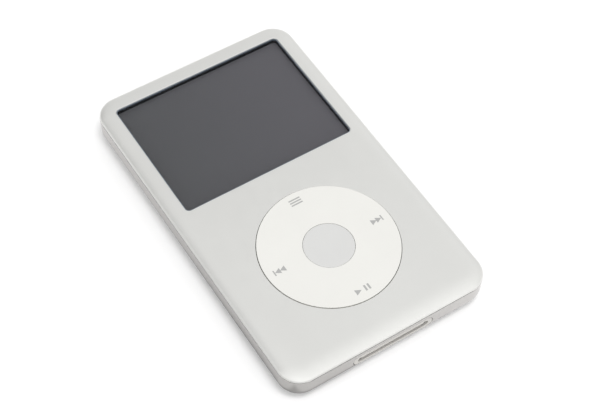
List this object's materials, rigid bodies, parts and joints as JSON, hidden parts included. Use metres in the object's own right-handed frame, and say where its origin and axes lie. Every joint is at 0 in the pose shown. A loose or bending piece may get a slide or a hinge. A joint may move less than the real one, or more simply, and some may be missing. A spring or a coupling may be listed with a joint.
{
  "type": "digital audio player",
  "caption": "Slim rectangular pocket audio player with an aluminium front, polished steel back, wide colour screen and a round touch wheel with a centre button.",
  "frame": {"origin": "centre of the flat back, on the table", "axes": "+X to the right of the screen, +Y towards the screen end, +Z out of the front"},
  "size_m": [0.0618, 0.1036, 0.0105],
  "materials": {
    "anodised_aluminium": "fine bead-blasted and clear anodised, soft satin",
    "polished_steel": "mirror-polished stainless steel with fine handling scratches",
    "sheet_steel": "plain pressed sheet",
    "cast_aluminium": "as cast, satin",
    "white_plastic": "fine satin moulding, warm white",
    "light_grey_plastic": "fine matt moulding, light grey",
    "black_plastic": "matt moulding",
    "blue_rubber": "soft moulded elastomer",
    "black_foam": "closed-cell foam",
    "clear_window": "clear cover, polished",
    "lcd_glass": "matt dark grey polariser on glass",
    "circuit_board": "green solder mask",
    "chip_resin": "moulded resin",
    "orange_flex": "polyimide film",
    "battery_foil": "laminated foil pouch",
    "gold_plate": "gold-plated spring brass",
    "platter_coat": "mirror-smooth magnetic coating"
  },
  "bodies": {
    "root": {"front_panel": "anodised_aluminium", "rear_shell": "polished_steel", "rear_clip_left": "sheet_steel", "rear_clip_right": "sheet_steel", "display_window": "clear_window", "window_gasket": "black_foam", "lcd_panel": "lcd_glass", "lcd_light_guide": "white_plastic", "lcd_tray": "white_plastic", "lcd_flex": "orange_flex", "display_connector": "black_plastic", "mid_frame": "sheet_steel", "logic_board": "circuit_board", "main_processor": "chip_resin", "memory_chip": "chip_resin", "power_chip": "chip_resin", "audio_chip": "chip_resin", "drive_connector": "black_plastic", "battery_connector": "white_plastic", "piezo_clicker": "gold_plate", "wheel_flex": "orange_flex", "battery": "battery_foil", "battery_flex": "orange_flex", "drive_base": "cast_aluminium", "drive_cover": "sheet_steel", "drive_board": "circuit_board", "drive_foam_pad": "black_foam", "drive_spindle_motor": "sheet_steel", "drive_pivot_post": "sheet_steel", "drive_magnet": "sheet_steel", "drive_yoke": "sheet_steel", "drive_head_ramp": "white_plastic", "drive_bumper_left": "blue_rubber", "drive_bumper_right": "blue_rubber", "drive_ribbon": "orange_flex", "dock_bezel": "white_plastic", "dock_housing": "black_plastic", "dock_tongue": "white_plastic", "dock_contacts": "gold_plate", "dock_shield": "sheet_steel", "headphone_jack": "black_plastic", "jack_bezel": "white_plastic", "jack_flex": "orange_flex", "lock_bezel": "white_plastic", "lock_switch": "black_plastic", "wheel_support_plate": "sheet_steel", "dome_sheet": "sheet_steel", "frame_screw_1": "sheet_steel", "frame_screw_2": "sheet_steel", "frame_screw_3": "sheet_steel", "frame_screw_4": "sheet_steel", "frame_screw_5": "sheet_steel", "frame_screw_6": "sheet_steel"},
    "button": {"centre_button": "light_grey_plastic"},
    "sensor_board": {"wheel_sensor_board": "circuit_board"},
    "wheel": {"touch_wheel": "white_plastic"},
    "lock": {"lock_slider": "light_grey_plastic"},
    "platter": {"drive_platter": "platter_coat", "drive_spindle_hub": "sheet_steel"},
    "arm": {"drive_actuator_arm": "cast_aluminium"}
  },
  "joints": [
    {"name": "button_press", "type": "slide", "parent": "root", "child": "button", "axis": [0, 0, -1], "range_m": [0, 0.0003], "stiffness_N_per_m": 2000},
    {"name": "wheel_rock_up_down", "type": "hinge", "parent": "root", "child": "sensor_board", "pos_m": [0, -0.0214, 0.0094], "axis": [1, 0, 0], "range_deg": [-0.65, 0.65], "stiffness_Nm_per_rad": 1.3},
    {"name": "wheel_rock_left_right", "type": "hinge", "parent": "sensor_board", "child": "wheel", "pos_m": [0, -0.0214, 0.0094], "axis": [0, 1, 0], "range_deg": [-0.65, 0.65], "stiffness_Nm_per_rad": 1.3},
    {"name": "lock_slide", "type": "slide", "parent": "root", "child": "lock", "axis": [1, 0, 0], "range_m": [0, 0.0022]},
    {"name": "platter_spin", "type": "hinge", "parent": "root", "child": "platter", "pos_m": [0, 0.0115, 0.0045], "axis": [0, 0, 1], "continuous": true},
    {"name": "arm_swing", "type": "hinge", "parent": "root", "child": "arm", "pos_m": [-0.012, -0.019, 0.0045], "axis": [0, 0, 1], "range_deg": [0, 36]}
  ]
}
